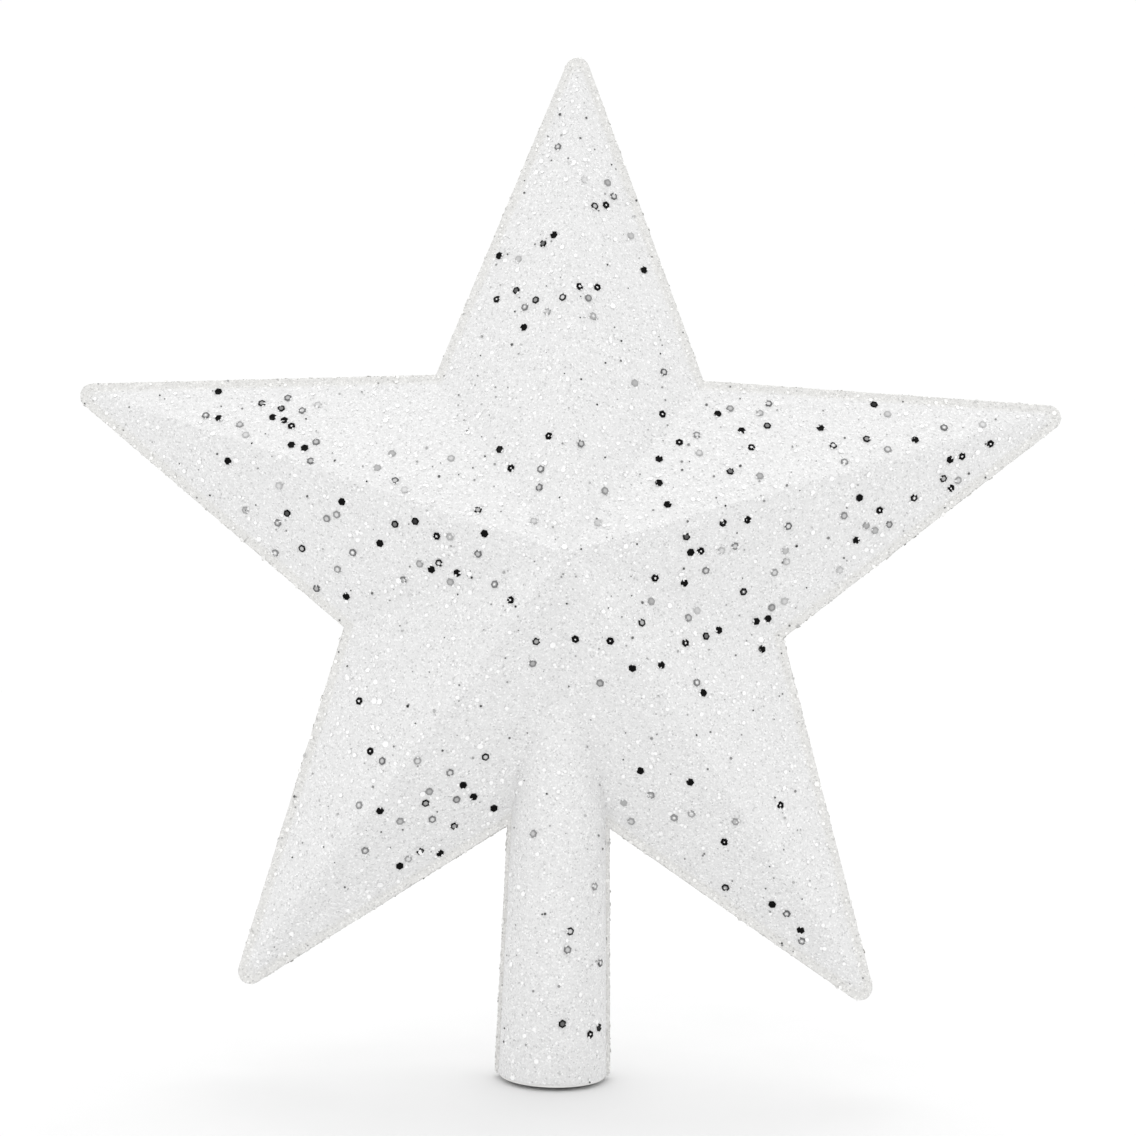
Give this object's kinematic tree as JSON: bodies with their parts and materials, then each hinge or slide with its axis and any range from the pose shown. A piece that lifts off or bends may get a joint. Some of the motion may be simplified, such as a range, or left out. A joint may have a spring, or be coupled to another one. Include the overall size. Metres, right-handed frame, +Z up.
{
  "type": "tree topper star",
  "caption": "Five-pointed hollow faceted star with a round tapered socket below, for standing on the tip of a tree, coated in glitter.",
  "frame": {"origin": "centre of the socket's mouth, on the surface that the star stands on", "axes": "+Z up along the socket to the upper tip, +X to the right seen from the front, -Y out of the front facets"},
  "size_m": [0.1948, 0.0402, 0.2011],
  "materials": {
    "white_plastic": "moulded white polystyrene, slightly translucent satin",
    "clear_cement": "hardened solvent cement, glossy bead",
    "white_glitter": "fine white and clear glitter grains set in lacquer, sparkling",
    "dark_foil": "mirror-like metallised film flakes that reflect dark",
    "pale_foil": "silver-grey film flakes, semi-gloss"
  },
  "bodies": {
    "root": {"front_shell": "white_plastic", "back_shell": "white_plastic", "seam_cement": "clear_cement", "front_glitter_coat": "white_glitter", "back_glitter_coat": "white_glitter", "front_dark_flakes": "dark_foil", "front_pale_flakes": "pale_foil", "back_dark_flakes": "dark_foil", "back_pale_flakes": "pale_foil"}
  },
  "joints": []
}
